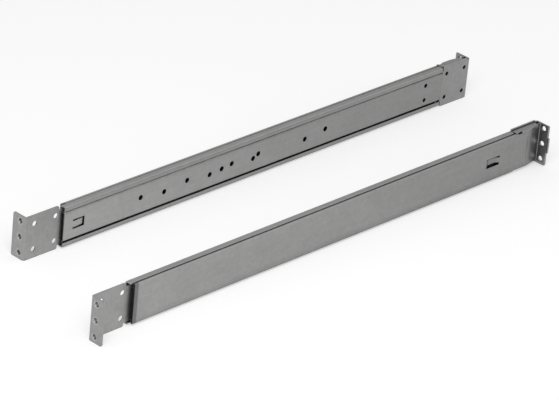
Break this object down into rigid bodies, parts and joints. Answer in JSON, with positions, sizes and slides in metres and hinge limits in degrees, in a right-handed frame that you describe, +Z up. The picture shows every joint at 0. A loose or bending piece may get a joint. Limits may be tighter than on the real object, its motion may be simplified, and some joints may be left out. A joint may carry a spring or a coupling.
{
  "type": "sliding server rail pair",
  "caption": "Pair of zinc-plated server rails with ball-bearing slides, rack flanges at both ends and a rear arm that telescopes to rack depth.",
  "frame": {"origin": "middle of the pair's box, on the surface that the rails stand on", "axes": "+X from the rack's front to its rear along both rails, +Y towards the left rail seen from the front, +Z up"},
  "size_m": [0.634, 0.1716, 0.0435],
  "materials": {
    "channel_zinc": "zinc-plated cold-rolled steel, fine lengthwise grain",
    "web_zinc": "zinc-plated cold-rolled steel, fine lengthwise grain",
    "bracket_zinc": "zinc-plated pressed steel",
    "tray_zinc": "zinc-plated roll-formed steel",
    "cage_steel": "zinc-plated stamped strip",
    "rivet_steel": "zinc-plated cold-headed steel",
    "ball_steel": "ground and polished bearing steel, lightly greased"
  },
  "bodies": {
    "fixed_rails": {"left_cabinet_member": "channel_zinc", "left_front_bracket": "bracket_zinc", "left_front_bracket_rivets": "rivet_steel", "left_tray_runner": "channel_zinc", "left_runner_rivets": "rivet_steel", "right_cabinet_member": "channel_zinc", "right_front_bracket": "bracket_zinc", "right_front_bracket_rivets": "rivet_steel", "right_tray_runner": "channel_zinc", "right_runner_rivets": "rivet_steel"},
    "left_slide": {"left_chassis_member": "web_zinc"},
    "left_cage": {"left_ball_cage": "cage_steel", "left_upper_balls": "ball_steel", "left_lower_balls": "ball_steel"},
    "left_rear_end": {"left_rear_arm": "tray_zinc", "left_rear_bracket": "bracket_zinc"},
    "right_slide": {"right_chassis_member": "web_zinc"},
    "right_cage": {"right_ball_cage": "cage_steel", "right_upper_balls": "ball_steel", "right_lower_balls": "ball_steel"},
    "right_rear_end": {"right_rear_arm": "tray_zinc", "right_rear_bracket": "bracket_zinc"}
  },
  "joints": [
    {"name": "left_slide_out", "type": "slide", "parent": "fixed_rails", "child": "left_slide", "axis": [-1, 0, 0], "range_m": [0, 0.375]},
    {"name": "left_cage_travel", "type": "slide", "parent": "fixed_rails", "child": "left_cage", "axis": [-1, 0, 0], "range_m": [0, 0.1875]},
    {"name": "left_depth_adjust", "type": "slide", "parent": "fixed_rails", "child": "left_rear_end", "axis": [1, 0, 0], "range_m": [0, 0.2]},
    {"name": "right_slide_out", "type": "slide", "parent": "fixed_rails", "child": "right_slide", "axis": [-1, 0, 0], "range_m": [0, 0.375]},
    {"name": "right_cage_travel", "type": "slide", "parent": "fixed_rails", "child": "right_cage", "axis": [-1, 0, 0], "range_m": [0, 0.1875]},
    {"name": "right_depth_adjust", "type": "slide", "parent": "fixed_rails", "child": "right_rear_end", "axis": [1, 0, 0], "range_m": [0, 0.2]}
  ],
  "couplings": [
    {"joint": "left_cage_travel", "follows": "left_slide_out", "ratio": 0.5},
    {"joint": "right_cage_travel", "follows": "right_slide_out", "ratio": 0.5}
  ]
}
